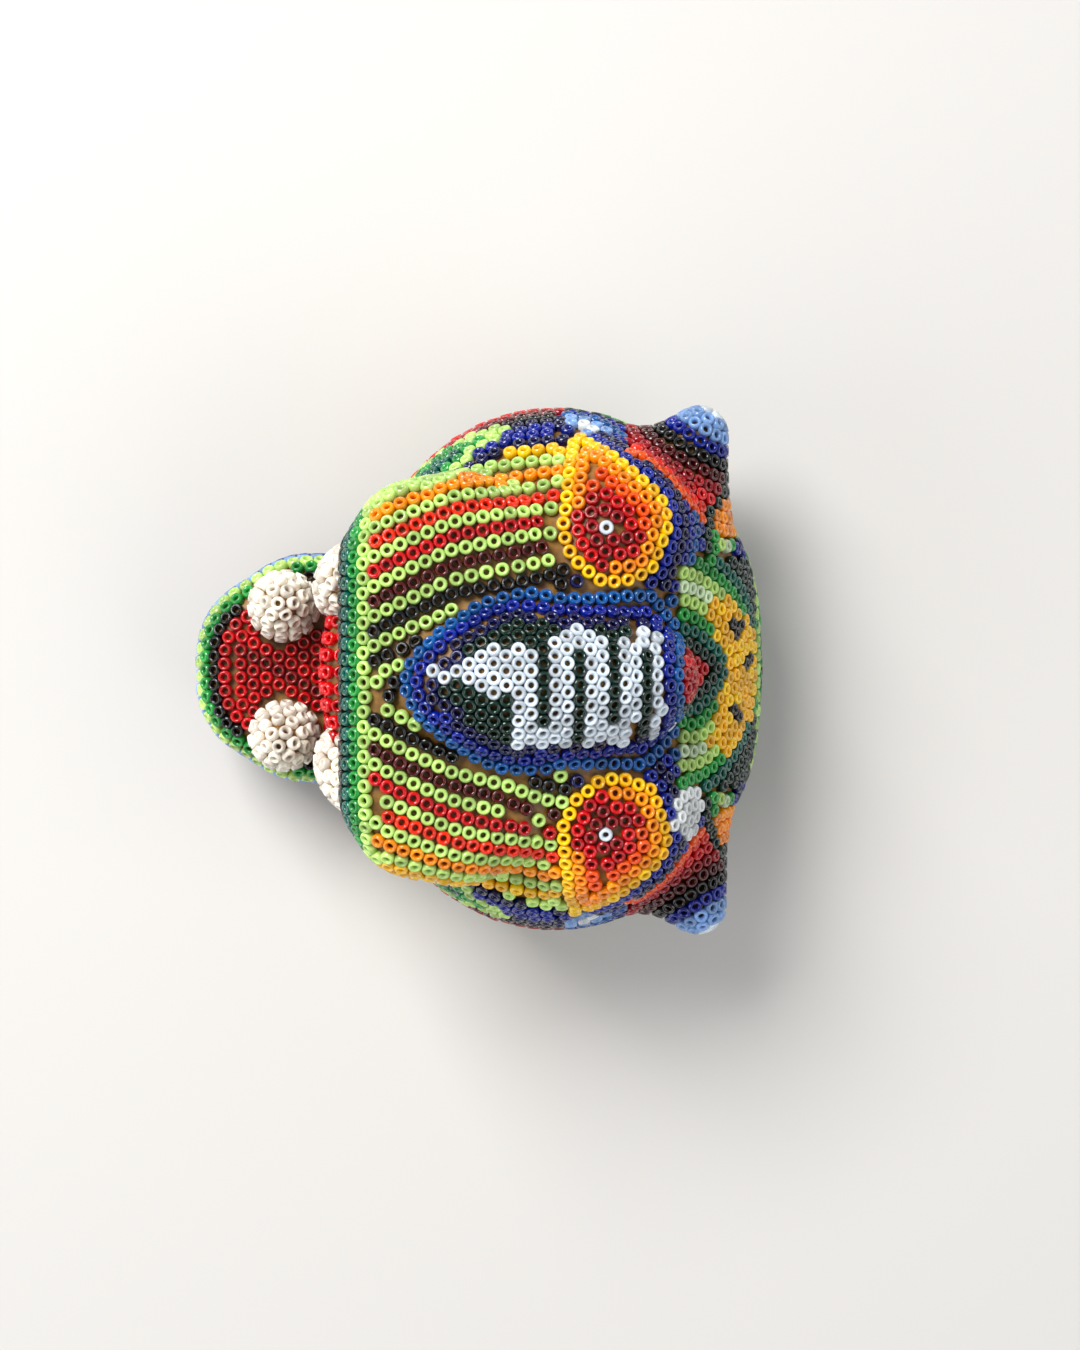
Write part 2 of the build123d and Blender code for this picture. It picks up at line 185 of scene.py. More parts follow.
def polygon(p, outline):
    """Distance in plan to a closed outline, negative inside."""
    corners = np.array(outline, float)
    nearest = np.full(len(p), 1e9)
    sign = np.ones(len(p))
    for a, b in zip(corners, np.roll(corners, 1, axis=0)):
        edge = b - a
        w = p[:, :2] - a
        t = np.clip((w @ edge) / (edge @ edge), 0, 1)
        nearest = np.minimum(nearest, ((w - t[:, None] * edge) ** 2).sum(-1))
        above = p[:, 1] >= a[1]
        below = p[:, 1] < b[1]
        left = edge[0] * w[:, 1] > edge[1] * w[:, 0]
        sign = np.where((above & below & left) | ~(above | below | left), -sign, sign)
    return sign * np.sqrt(nearest)


def inset(outline, distance):
    """The outline with every edge moved inwards."""
    corners = np.array(outline, float)
    after = np.roll(corners, -1, axis=0)
    turn = (corners[:, 0] * after[:, 1] - after[:, 0] * corners[:, 1]).sum()
    side = 1 if turn > 0 else -1
    moved = []
    for i, b in enumerate(corners):
        u = (b - corners[i - 1]) / length(b - corners[i - 1])
        v = (after[i] - b) / length(after[i] - b)
        normals = side * np.array([[-u[1], u[0]], [-v[1], v[0]]])
        moved.append(np.linalg.solve(normals, normals @ b + distance))
    return moved


MUZZLE_PLAN = inset(both_sides(MUZZLE_EDGE), MUZZLE_CORNER)
JAW_PLAN = inset(both_sides(JAW_EDGE), JAW_CORNER)


def rounded(wall, end, radius):
    """Distance to a block whose wall and end meet in a round edge."""
    a = wall + radius
    b = end + radius
    outside = np.sqrt(np.maximum(a, 0) ** 2 + np.maximum(b, 0) ** 2)
    return np.minimum(np.maximum(a, b), 0) + outside - radius


def muzzle(p):
    wall = polygon(p, MUZZLE_PLAN) - MUZZLE_CORNER
    fall = (p[:, 0] - MUZZLE_EDGE[0][0]) * math.sin(MUZZLE_TILT)
    top = (p[:, 2] - MUZZLE_TOP) * math.cos(MUZZLE_TILT) + fall
    lip = rounded(wall, MUZZLE_BOTTOM - p[:, 2], MUZZLE_LIP_ROUND)
    return np.maximum(rounded(wall, top, MUZZLE_TOP_ROUND), lip)


def jaw(p):
    wall = polygon(p, JAW_PLAN) - JAW_CORNER
    chin = rounded(wall, JAW_BOTTOM - p[:, 2], JAW_CHIN_ROUND)
    return np.maximum(rounded(wall, p[:, 2] - JAW_FLOOR, JAW_RIM_ROUND), chin)


def box_distance(p, low, high):
    centre = (np.array(low) + np.array(high)) / 2
    q = np.abs(p - centre) - (np.array(high) - np.array(low)) / 2
    return length(np.maximum(q, 0)) + np.minimum(q.max(-1), 0)


def cranium(p):
    """A wide arc between two round ends, turned about the line from ear to ear."""
    reach = CRANIUM_HALF_WIDTH - CRANIUM_END_RADIUS
    depth = CRANIUM_RADIUS - CRANIUM_END_RADIUS
    belt_radius = (reach ** 2 + depth ** 2) / (2 * depth) + CRANIUM_END_RADIUS
    inset_by = belt_radius - CRANIUM_RADIUS
    r = np.hypot(p[:, 0] - CRANIUM_CENTRE[0], p[:, 2] - CRANIUM_CENTRE[2])
    t = np.abs(p[:, 1])
    at_end = (t - reach) * inset_by > r * reach
    round_part = np.where(at_end, np.hypot(r, t - reach) - CRANIUM_END_RADIUS,
                          np.hypot(r + inset_by, t) - belt_radius)
    flat_part = np.hypot(p[:, 0] - FOREHEAD_CENTRE[0], p[:, 2] - FOREHEAD_CENTRE[2])
    return blend_max(round_part, flat_part - FOREHEAD_RADIUS, FOREHEAD_BLEND)


def nose(p):
    axis = (math.cos(NOSE_TILT), 0, -math.sin(NOSE_TILT))
    front = spheroid(p, NOSE_CENTRE, axis, NOSE_HALF_LENGTH, NOSE_RADIUS)
    bridge = spheroid(p, NOSE_CENTRE, axis, BRIDGE_LENGTH, NOSE_RADIUS)
    return np.where((p - np.array(NOSE_CENTRE)) @ np.array(axis) > 0, bridge, front)


def head(p):
    eyes = length(folded(p) - np.array(EYE_CENTRE)) - EYE_RADIUS
    mouth = box_distance(p, MOUTH_LOW, MOUTH_HIGH)
    skull = blend_min(cranium(p), muzzle(p), SKULL_BLEND)
    skull = blend_min(blend_min(skull, nose(p), SKULL_BLEND), eyes, SKULL_BLEND)
    return blend_max(blend_min(skull, jaw(p), JAW_BLEND), -mouth, MOUTH_BLEND)


def ear(p):
    """A cone with round ends."""
    axis = np.array(EAR_DIRECTION) / math.dist(EAR_DIRECTION, (0, 0, 0))
    w = folded(p) - np.array(EAR_ROOT)
    y = w @ axis
    x = np.sqrt(np.maximum((w * w).sum(-1) - y * y, 0))
    b = (EAR_ROOT_RADIUS - EAR_TIP_RADIUS) / EAR_AXIS_LENGTH
    k = math.sqrt(1 - b * b)
    along = k * y - b * x
    at_tip = np.hypot(x, y - EAR_AXIS_LENGTH) - EAR_TIP_RADIUS
    side = np.where(along > k * EAR_AXIS_LENGTH, at_tip, x * k + y * b - EAR_ROOT_RADIUS)
    return np.where(along < 0, np.hypot(x, y) - EAR_ROOT_RADIUS, side)


def whole(p):
    return blend_min(head(p), ear(p), EAR_BLEND)


def gum(p):
    return spheroid(p, GUM_CENTRE, (0, 1, 0), GUM_HALF_LENGTH, GUM_RADIUS)


def lower_fang(p):
    return spheroid(folded(p), *LOWER_FANG)


def upper_fang(p):
    return spheroid(folded(p), *UPPER_FANG)


def normals_of(distance, p):
    step = 0.01
    slopes = [distance(p + e) - distance(p - e) for e in np.eye(3) * step]
    g = np.stack(slopes, -1)
    return g / np.maximum(length(g), 1e-9)[:, None]


def settle(distance, p, level=0.0, rounds=4):
    """Moves the points onto the surface at that level."""
    for _ in range(rounds):
        p = p - normals_of(distance, p) * np.clip(distance(p) - level, -1, 1)[:, None]
    return p


# ======== surfaces and level lines ========
def surface(distance, level, low, high, step):
    """Surface nets: a vertex in each grid cell that the surface crosses."""
    axes = [np.arange(a, b, step) for a, b in zip(low, high)]
    grid = np.stack(np.meshgrid(*axes, indexing="ij"), -1)
    inside = (distance(grid.reshape(-1, 3)) < level).reshape(grid.shape[:3])
    corners = [inside[i:i - 1 or None, j:j - 1 or None, k:k - 1 or None].astype(int)
               for i in (0, 1) for j in (0, 1) for k in (0, 1)]
    count = sum(corners)
    mixed = (count > 0) & (count < 8)
    number = np.full(mixed.shape, -1)
    number[mixed] = np.arange(mixed.sum())
    points = settle(distance, grid[:-1, :-1, :-1][mixed] + step / 2, level)
    quads = []
    for axis in range(3):
        u, v = (axis + 1) % 3, (axis + 2) % 3
        filled = np.moveaxis(inside, (axis, u, v), (0, 1, 2))
        cells = np.moveaxis(number, (axis, u, v), (0, 1, 2))
        i, j, k = np.nonzero(filled[:-1, 1:-1, 1:-1] != filled[1:, 1:-1, 1:-1])
        ring = np.stack([cells[i, j, k], cells[i, j + 1, k], cells[i, j + 1, k + 1],
                         cells[i, j, k + 1]], -1)
        rising = filled[:-1, 1:-1, 1:-1][i, j, k]
        quads.append(np.where(rising[:, None], ring, ring[:, ::-1]))
    return points, np.concatenate(quads)


def level_lines(points, faces, values, level):
    """The chains of points where the values cross the level."""
    above = values > level
    mixed = above[faces].any(1) & ~above[faces].all(1)
    links = {}
    for a, b, c in faces[mixed].tolist():
        ends = [(min(e), max(e)) for e in ((a, b), (b, c), (c, a)) if above[e[0]] != above[e[1]]]
        links.setdefault(ends[0], []).append(ends[1])
        links.setdefault(ends[1], []).append(ends[0])
    chains = []
    seen = set()
    for start in sorted(links, key=lambda e: (len(links[e]), e)):
        if start in seen:
            continue
        chain = [start]
        seen.add(start)
        while True:
            ahead = [e for e in links[chain[-1]] if e not in seen]
            if not ahead:
                break
            chain.append(ahead[0])
            seen.add(ahead[0])
        if len(links[start]) == 2:
            chain.append(start)
        a, b = np.array(chain).T
        t = ((level - values[a]) / (values[b] - values[a]))[:, None]
        chains.append(points[a] * (1 - t) + points[b] * t)
    return chains


def spaced(chain, pitch, phase=None):
    """Points a pitch apart along a chain. With a phase they are counted from the plane Y = 0."""
    run = np.concatenate([[0], np.cumsum(length(np.diff(chain, axis=0)))])
    total = run[-1]
    if phase is None:
        count = max(1, round(total / pitch))
        places = (np.arange(count) + 0.5) * total / count
    else:
        y = chain[:, 1]
        i = np.argmax(y[:-1] * y[1:] <= 0)
        start = run[i] + (run[i + 1] - run[i]) * abs(y[i]) / max(abs(y[i] - y[i + 1]), 1e-6)
        first = math.ceil(-start / pitch - phase)
        places = start + (np.arange(first, first + int(total / pitch) + 2) + phase) * pitch
        places = places[(places >= 0) & (places <= total)]
    return np.stack([np.interp(places, run, chain[:, i]) for i in range(3)], -1)


# ======== fields, rows and colours ========
def field_of(p):
    """The name of the CAD's field of beads at each point, without its side."""
    x, y, z = p[:, 0], np.abs(p[:, 1]), p[:, 2]
    name = np.full(len(p), "temple", dtype="<U12")
    name[(x > SIDE_START) & (z < NAPE_TOP)] = "nape"
    name[(x > FOREHEAD_START) & (y < FOREHEAD_HALF_WIDTH) & (z > NAPE_TOP)] = "forehead"
    name[(x <= SIDE_START) & (z < CHEEK_TOP)] = "cheek"
    name[(x <= SIDE_START) & (z >= CHEEK_TOP)] = "whisker"
    name[(x < LIP_BACK) & (z > MUZZLE_BOTTOM - 0.5)] = "lip"
    palate = box_distance(p, MOUTH_LOW, MOUTH_HIGH) < 1.0
    name[palate & (x < -15)] = "palate"
    name[(x < JAW_JOINT) & (z >= RIM_LINE) & (z < JAW_JOINT_TOP)] = "jaw_floor"
    name[(x < JAW_JOINT) & (z < RIM_LINE)] = "jaw"
    name[(polygon(p, both_sides(NOSE_OUTLINE)) < 0) & (z > MUZZLE_BOTTOM + 5)] = "nose"
    name[(polygon(folded(p), EYE_OUTLINE) < 0) & (z > CHEEK_TOP - 8)] = "eye"
    name[ear(p) < head(p)] = "ear"
    return name


def zone_of(p):
    """The pattern at each point: its field's, or that of the ear's rings or the jaw's rim."""
    zone = field_of(p)
    to_tip = length(folded(p) - EAR_TIP)
    from_wall = polygon(p, JAW_PLAN) - JAW_CORNER
    zone[(zone == "temple") & (to_tip < EAR_RINGS * ROW) & (p[:, 0] > EAR_RINGS_START)] = "ear"
    zone[(zone == "jaw_floor") & (from_wall > -JAW_RIM_ROUND)] = "jaw"
    return zone


def lifted(outline):
    """The outline's points, filled in and set on the surface."""
    corners = np.array(outline, float)
    runs = [a + (b - a) * np.linspace(0, 1, OUTLINE_STEPS, endpoint=False)[:, None]
            for a, b in zip(corners, np.roll(corners, -1, axis=0))]
    flat = np.concatenate(runs)
    p = np.column_stack([flat, np.full(len(flat), DROP_HEIGHT)])
    for _ in range(DROP_ROUNDS):
        p[:, 2] -= np.clip(whole(p) * 0.7, -1, 3)
    return p


def distance_to(curve, p):
    tree = KDTree(len(curve))
    for i, c in enumerate(curve):
        tree.insert(c, i)
    tree.balance()
    return np.array([tree.find(q)[2] for q in p])


EYE_CURVE = lifted(EYE_OUTLINE)
NOSE_CURVE = lifted(both_sides(NOSE_OUTLINE))
TRIANGLE = ((18, 5), (23, 0.8), (18, -4))
TRIANGLE_CURVE = lifted(TRIANGLE)
LIP_EDGE = [(LIP_BACK, y) for y in np.linspace(-LIP_HALF_WIDTH, LIP_HALF_WIDTH, 40)]
LIP_CURVE = lifted(LIP_EDGE)
CREST = lifted([(x, 0.0) for x in np.linspace(-24, 26, 60)])[:-OUTLINE_STEPS]
CREST_RUN = np.concatenate([[0], np.cumsum(length(np.diff(CREST, axis=0)))])
SERPENT_TIP = -13.4
SERPENT_START = np.interp(SERPENT_TIP, CREST[:, 0], CREST_RUN)
SERPENT_PITCH = 1.68     # between its columns, which fit into each other
EAR_TIP = np.array(EAR_ROOT) + np.array(EAR_DIRECTION) * EAR_LENGTH
EAR_RINGS = 10.4         # rings of beads around the ear, counted from its tip
EAR_RINGS_START = 10     # they don't reach further forward than this
WHISKER_REACH = (-30, 1.5)
WHISKER_PLACES = (-25, -14, 0)
RIGHT_WHISKERS = ((7.1, 12.4, 15.4), (2.05, 1.9, 1.75))      # first row and pitch at each place
LEFT_WHISKERS = ((4.9, 10.9, 15), (2.15, 1.85, 1.67))
PALATE_SLOPE = 0.72
FAR_FORWARD = 60         # row numbers of the palate and the jaw floor start ahead of the head
MIDDLE_ROW = 9           # the cranium's row at the height of its centre


def whisker_row(p):
    """Which row of the whiskers a point lies on. Rows fan out from the nose."""
    x = np.clip(p[:, 0], *WHISKER_REACH)
    right = p[:, 1] > 0
    start, pitch = (
        np.where(right, np.interp(x, WHISKER_PLACES, a), np.interp(x, WHISKER_PLACES, b))
        for a, b in zip(RIGHT_WHISKERS, LEFT_WHISKERS))
    return (np.abs(p[:, 1]) - start) / pitch + np.where(right, 2, 3)


def serpent_column(p):
    """Which column of the serpent on the nose a point lies in."""
    return (np.interp(p[:, 0], CREST[:, 0], CREST_RUN) - SERPENT_START) / SERPENT_PITCH


def measure(name, p):
    """How far a point is across the rows of its field, in rows."""
    if name in ("eye", "temple"):
        return distance_to(EYE_CURVE, folded(p)) / ROW
    if name == "border":
        return distance_to(NOSE_CURVE, p) / ROW
    if name == "nose":
        return serpent_column(p)
    if name == "lip":
        return distance_to(LIP_CURVE, p) / ROW
    if name == "whisker":
        return whisker_row(p)
    if name == "forehead":
        return distance_to(TRIANGLE_CURVE, p) / ROW
    if name == "ear":
        return length(folded(p) - EAR_TIP) / ROW
    if name == "palate":
        return (p[:, 0] - p[:, 2]) * PALATE_SLOPE / ROW + FAR_FORWARD
    if name == "jaw_floor":
        return (p[:, 0] + FAR_FORWARD) / ROW
    if name == "jaw":
        out = np.maximum(polygon(p, JAW_PLAN) - JAW_CORNER + JAW_RIM_ROUND, 0)
        up = p[:, 2] - (JAW_FLOOR - JAW_RIM_ROUND)
        around_rim = JAW_RIM_ROUND * np.arctan2(out, np.maximum(up, 0))
        return (around_rim + np.maximum(-up, 0)) / ROW
    height = np.clip((CRANIUM_CENTRE[2] - p[:, 2]) / CRANIUM_RADIUS, -1, 1)
    return np.arcsin(height) * CRANIUM_RADIUS / ROW + MIDDLE_ROW


def near(p, place, radius):
    return math.dist(p, place) < radius


# Colours from row to row, from the line that the rows are counted from.
WHISKER_COLOURS = ("black", "maroon", "red", "orange_red", "amber", "yellow", "yellow")
EYE_COLOURS = ("yellow", "amber", "orange", "orange_red")
LIP_COLOURS = ("light_green", "green", "teal", "dark_green", "black", "dark_green", "crimson",
               "crimson", "crimson")
EAR_COLOURS = ("cool_white", "light_blue", "light_blue", "royal", "black", "maroon", "crimson",
               "red", "orange_red", "orange")
JAW_COLOURS = ("red", "black", "green", "light_green", "light_blue", "steel", "royal", "royal",
               "navy")
TEMPLE_COLOURS = ("royal", "navy", "royal", "steel", "royal", "dark_green", "green",
                  "light_green", "pale_green", "green")
SIDE_COLOURS = ("navy", "royal", "royal", "navy", "black", "maroon", "crimson", "red",
                "orange_red", "orange", "amber", "yellow", "light_green", "green", "teal",
                "dark_green", "navy", "royal")
NAPE_COLOURS = ("dark_green", "green", "light_green", "green", "dark_green", "navy", "royal")
FOREHEAD_COLOURS = ("dark_green", "teal", "green", "light_green", "pale_green", "light_green",
                    "green", "teal", "dark_green")
PALATE_COLOURS = ("crimson", "black", "crimson", "maroon")
MOTIF_COLOURS = ("teal", "green", "light_green")

# Patches within the fields.
RED_OF_EYE = 5.2
DARK_OF_EYE = 3.3
ROYAL_BORDER = 2.4       # rows from the edge of the nose
NAVY_BORDER = 3.3
BARE_WHISKERS = -12      # behind this the first whiskers are all black
FOREHEAD_PATCH = ((25.3, 0), (23, 6.5), (21.5, 9.5), (25, 11.5), (28.5, 7.5), (30.8, 2.5), (31, 0))
FOREHEAD_MARKS = ((26.4, 6.6), (28.4, 0.8), (26.4, -5.4))
MARK_RADIUS = 1.2
BROW = (14, 15)          # the blue between the eyes ends at this X and this far to each side
DIAMOND = (15, 30.5, 31.5)
DIAMOND_RADII = (2.2, 5)
WHITE_PATCH = (19, -19, 37)
WHITE_PATCH_RADIUS = 4.2
EYE_CORNER = (4.5, 36, 27)
EYE_CORNER_RADII = (1.8, 3.5)
EAR_BACK = (0.86, 0.5)
EAR_BACK_START = 6.5
EAR_BACK_LINE = 8
EAR_BACK_ROW = 3
MOTIF_X = -18            # the middle of the even-sided triangle on the cheek, pointing backwards
MOTIF_Z = 27
ARROW_CENTRE = 1.9
ARROW_HALF_WIDTHS = (1, 2, 3.1, 4.2, 3)
SERPENT_PAIRS = 5
SERPENT_RIGHT = 7.2
SERPENT_FIRST_RIGHT = 5.3
SERPENT_LEFT = -8.8
LEFT_TURN = (-9.2, -6)
RIGHT_TURN = (5, 8.2)


def serpent_is_white(column, y):
    """An arrowhead at the front, then pairs of columns joined at alternate ends."""
    arrow = len(ARROW_HALF_WIDTHS)
    if column < arrow:
        return abs(y - ARROW_CENTRE) < ARROW_HALF_WIDTHS[max(column, 0)]
    pair, place = divmod(column - arrow, 3)
    if pair > SERPENT_PAIRS:
        return False
    if place < 2:
        return SERPENT_LEFT < y < (SERPENT_FIRST_RIGHT if pair == 0 else SERPENT_RIGHT)
    low, high = LEFT_TURN if pair % 2 == 0 else RIGHT_TURN
    return low < y < high


def colour_of(name, row, p):
    """The colour of a bead in a row of a field."""
    x, y, z = p
    side = abs(y)
    if name == "eye":
        to_pupil = math.dist((x, side), PUPIL_CENTRE)
        if to_pupil < RED_OF_EYE:
            return "crimson" if to_pupil < DARK_OF_EYE else "red"
        return EYE_COLOURS[min(row, len(EYE_COLOURS) - 1)]
    if name == "border":
        return ("steel", "royal")[min(row, 1)]
    if name == "nose":
        if serpent_is_white(row, y):
            return "cool_white"
        from_edge = measure("border", np.array([p]))[0]
        if from_edge < ROYAL_BORDER:
            return "royal"
        return "navy" if from_edge < NAVY_BORDER else "dark_green"
    if name == "lip":
        return LIP_COLOURS[min(row, len(LIP_COLOURS) - 1)]
    if name == "whisker":
        coloured = row % 2 == 0 if y > 0 else row % 2 == 1
        if row < 2:
            return "black" if coloured or x > BARE_WHISKERS else "light_green"
        if not coloured:
            return "light_green"
        step = (row - 2) // 2 if y > 0 else (row - 3) // 2
        return WHISKER_COLOURS[min(step, len(WHISKER_COLOURS) - 1)]
    if name == "forehead":
        if polygon(np.array([p]), TRIANGLE)[0] < 0:
            return "red"
        if any(near((x, y), mark, MARK_RADIUS) for mark in FOREHEAD_MARKS):
            return "black"
        if row >= 2 and polygon(np.array([p]), both_sides(FOREHEAD_PATCH))[0] < 0:
            return "yellow"
        return FOREHEAD_COLOURS[min(row, len(FOREHEAD_COLOURS) - 1)]
    if name == "temple":
        if x < BROW[0] and side < BROW[1]:
            return "navy" if (row + round(x)) % 3 == 0 else "royal"
        if near(p, DIAMOND, DIAMOND_RADII[1]):
            return "light_green" if near(p, DIAMOND, DIAMOND_RADII[0]) else "green"
        if near(p, WHITE_PATCH, WHITE_PATCH_RADIUS):
            return "white"
        if near((x, side, z), EYE_CORNER, EYE_CORNER_RADII[1]):
            return "white" if near((x, side, z), EYE_CORNER, EYE_CORNER_RADII[0]) else "light_blue"
        return TEMPLE_COLOURS[row % len(TEMPLE_COLOURS)]
    if name == "ear":
        behind = (x - EAR_ROOT[0]) * EAR_BACK[0] - (side - EAR_ROOT[1]) * EAR_BACK[1]
        if behind > EAR_BACK_START and row > EAR_BACK_ROW:
            return "dark_green" if behind < EAR_BACK_LINE else "amber"
        return EAR_COLOURS[min(row, len(EAR_COLOURS) - 1)]
    if name == "palate":
        return PALATE_COLOURS[row % len(PALATE_COLOURS)]
    if name == "jaw_floor":
        return "crimson" if (row + round(y)) % 5 == 0 else "red"
    if name == "jaw":
        return JAW_COLOURS[min(row, len(JAW_COLOURS) - 1)]
    if name == "cheek":
        motif = max(MOTIF_X - x, 0.5 * (x - MOTIF_X) + 0.87 * abs(z - MOTIF_Z))
        if motif < len(MOTIF_COLOURS) * PITCH:
            return MOTIF_COLOURS[max(int(motif / PITCH), 0)]
        return SIDE_COLOURS[row % len(SIDE_COLOURS)]
    return NAPE_COLOURS[row % len(NAPE_COLOURS)]


class Cover:
    """Beads placed on one surface, none too close to another."""

    def __init__(self, distance, bare, pitch):
        self.distance = distance
        self.bare = bare
        self.pitch = pitch
        self.points = []
        self.colours = []
        self.cells = {}

    def cell(self, p):
        return tuple(int(math.floor(c / self.pitch)) for c in p)

    def free(self, p, reach):
        a, b, c = self.cell(p)
        for i in (a - 1, a, a + 1):
            for j in (b - 1, b, b + 1):
                for k in (c - 1, c, c + 1):
                    for q in self.cells.get((i, j, k), ()):
                        if math.dist(p, q) < reach:
                            return False
        return True

    def add(self, p, colour, reach):
        if self.free(p, reach):
            self.cells.setdefault(self.cell(p), []).append(tuple(p))
            self.points.append(tuple(p))
            self.colours.append(colour)

    def row(self, points, colour_at, keep):
        if not len(points):
            return
        points = settle(self.distance, points)
        kept = points[keep(points) & ~self.bare(points)]
        for p in kept:
            self.add(p, colour_at(p), NEAREST * self.pitch)

    def relax(self, rounds):
        """Pushes beads that touch apart, and keeps them on the surface."""
        p = np.array(self.points)
        touch = self.pitch * TOUCH
        for _ in range(rounds):
            tree = KDTree(len(p))
            for i, q in enumerate(p):
                tree.insert(q, i)
            tree.balance()
            push = np.zeros_like(p)
            for i, q in enumerate(p):
                for _, j, d in tree.find_range(q, touch):
                    if j != i and d > 1e-6:
                        push[i] += (q - p[j]) / d * (touch - d) * PUSH
            p = settle(self.distance, p + push, rounds=2)
        self.points = [tuple(q) for q in p]
        self.cells = {}
        for q in self.points:
            self.cells.setdefault(self.cell(q), []).append(q)


def on_head_bare(p):
    roots = np.minimum(np.minimum(gum(p), lower_fang(p)), upper_fang(p))
    return (p[:, 2] < SKIRT + SKIRT_MARGIN) | (roots < ROOT_MARGIN)


# ======== the head's beads ========
BORDER_ROWS = 2
head_points, head_quads = surface(whole, 0, HEAD_LOW, HEAD_HIGH, GRID)
head_faces = np.concatenate([head_quads[:, (0, 1, 2)], head_quads[:, (0, 2, 3)]])
vertex_zone = zone_of(head_points)
head_cover = Cover(whole, on_head_bare, PITCH)
pupils = lifted([PUPIL_CENTRE, (PUPIL_CENTRE[0], -PUPIL_CENTRE[1])])[::OUTLINE_STEPS]
for pupil in pupils:
    head_cover.add(pupil, "cool_white", PITCH)

ROW_ORDER = ("eye", "border", "nose", "lip", "whisker", "forehead", "temple", "ear", "cheek",
             "nape", "jaw", "jaw_floor", "palate")
for name in ROW_ORDER:
    zone = "nose" if name == "border" else name
    inside = (vertex_zone == zone)[head_faces].any(1)
    faces = head_faces[inside]
    used = np.unique(faces)
    values = np.zeros(len(head_points))
    values[used] = measure(name, head_points[used])
    offset = 0 if name in ("whisker", "nose") else 0.5
    last = BORDER_ROWS if name == "border" else values[used].max()
    number = math.ceil(values[used].min() - offset)
    while number + offset < last:
        for chain in level_lines(head_points, faces, values, number + offset):
            phase = (number % 2) / 2 if name in ("nose", "jaw_floor") else None
            head_cover.row(
                spaced(chain, PITCH, phase),
                lambda p, n=name, k=number: colour_of(n, k, p),
                lambda q, f=zone: zone_of(q) == f,
            )
        number += 1


def fill(cover, points, colour_at):
    """Puts beads on the bare spots that are left between the rows."""
    for p in points:
        if cover.free(p, GAP * cover.pitch):
            cover.add(p, colour_at(p), GAP * cover.pitch)


def head_colour(p):
    name = str(zone_of(np.array([p]))[0])
    row = measure(name, np.array([p]))[0]
    row = round(row) if name in ("whisker", "nose") else int(row)
    return colour_of(name, row, p)


bare_spots = head_points[~on_head_bare(head_points)]
for rounds in (3, 4, 5, 3):
    head_cover.relax(rounds)
    fill(head_cover, bare_spots, head_colour)
head_cover.relax(3)


# ======== beads of the gum and the fangs ========
def small_cover(distance, low, high, pitch, measure_at, colour_at):
    points, quads = surface(distance, 0, low, high, FINE_GRID)
    faces = np.concatenate([quads[:, (0, 1, 2)], quads[:, (0, 2, 3)]])
    cover = Cover(distance, lambda p: whole(p) < CLEAR_OF_HEAD, pitch)
    values = measure_at(points)
    number = 0
    while number + 0.5 < values.max():
        for chain in level_lines(points, faces, values, number + 0.5):
            cover.row(spaced(chain, pitch), colour_at, lambda q: np.full(len(q), True))
        number += 1
    fill(cover, points[whole(points) > CLEAR_OF_HEAD], colour_at)
    cover.relax(4)
    return cover


def around(place, reach):
    return [c - reach for c in place], [c + reach for c in place]


def fang_cover(shape, side):
    place, direction, half_length, radius = shape
    centre = np.array((place[0], side * place[1], place[2]))
    axis = np.array((direction[0], side * direction[1], direction[2]))
    tip = centre + axis / length(axis) * half_length
    return small_cover(
        lambda p: spheroid(p, centre, axis, half_length, radius), *around(centre, half_length + 2),
        FANG_PITCH, lambda p: length(p - tip) / FANG_PITCH + FANG_FIRST_ROW,
        lambda p: "warm_white")


covers = {
    # The gum's beads are the floor's red beads painted brighter: painted light on the raised gum,
    # which stands nearer the light than the shaded jaw floor.
    "gum": small_cover(gum, *around(GUM_CENTRE, GUM_HALF_LENGTH + 2), FANG_PITCH,
                       lambda p: (p[:, 1] + GUM_HALF_LENGTH) / FANG_PITCH, lambda p: "bright_red"),
    "lower_fang_right": fang_cover(LOWER_FANG, 1),
    "lower_fang_left": fang_cover(LOWER_FANG, -1),
    "upper_fang_right": fang_cover(UPPER_FANG, 1),
    "upper_fang_left": fang_cover(UPPER_FANG, -1),
}


# ======== materials ========
COLOURS = {
    "black": (0x0C, 0x0D, 0x0D), "navy": (0x0C, 0x10, 0x48), "royal": (0x08, 0x20, 0x90),
    "steel": (0x0E, 0x58, 0xA0), "light_blue": (0x82, 0xAA, 0xE1), "cool_white": (0xD2, 0xDC, 0xE4),
    "white": (0xE4, 0xE8, 0xE8), "warm_white": (0xF0, 0xE6, 0xD6), "pale_green": (0xC8, 0xDE, 0xB4),
    "light_green": (0xB4, 0xD8, 0x70), "green": (0x22, 0x98, 0x3C), "teal": (0x06, 0x60, 0x50),
    "dark_green": (0x0A, 0x2A, 0x20), "yellow": (0xFF, 0xC0, 0x00), "amber": (0xFF, 0x92, 0x00),
    "orange": (0xFF, 0x56, 0x06), "orange_red": (0xF2, 0x2A, 0x08), "red": (0xC8, 0x08, 0x12),
    # The gum's red here is red painted lighter: painted light on the raised gum, not a bead colour
    # of its own.
    "bright_red": (0xD8, 0x06, 0x10), "crimson": (0x98, 0x0C, 0x16), "maroon": (0x50, 0x0A, 0x0C),
}
OPAQUE = ("cool_white", "white", "warm_white", "pale_green", "light_green", "yellow", "amber")


def linear(colour):
    parts = [c / 255 for c in colour]
    return (*(c / 12.92 if c <= 0.04045 else ((c + 0.055) / 1.055) ** 2.4 for c in parts), 1)


def plain_material(name, colour, roughness):
    material = bpy.data.materials.new(name)
    material.use_nodes = True
    shader = material.node_tree.nodes["Principled BSDF"]
    shader.inputs["Base Color"].default_value = linear(colour)
    shader.inputs["Roughness"].default_value = roughness
    return material, shader


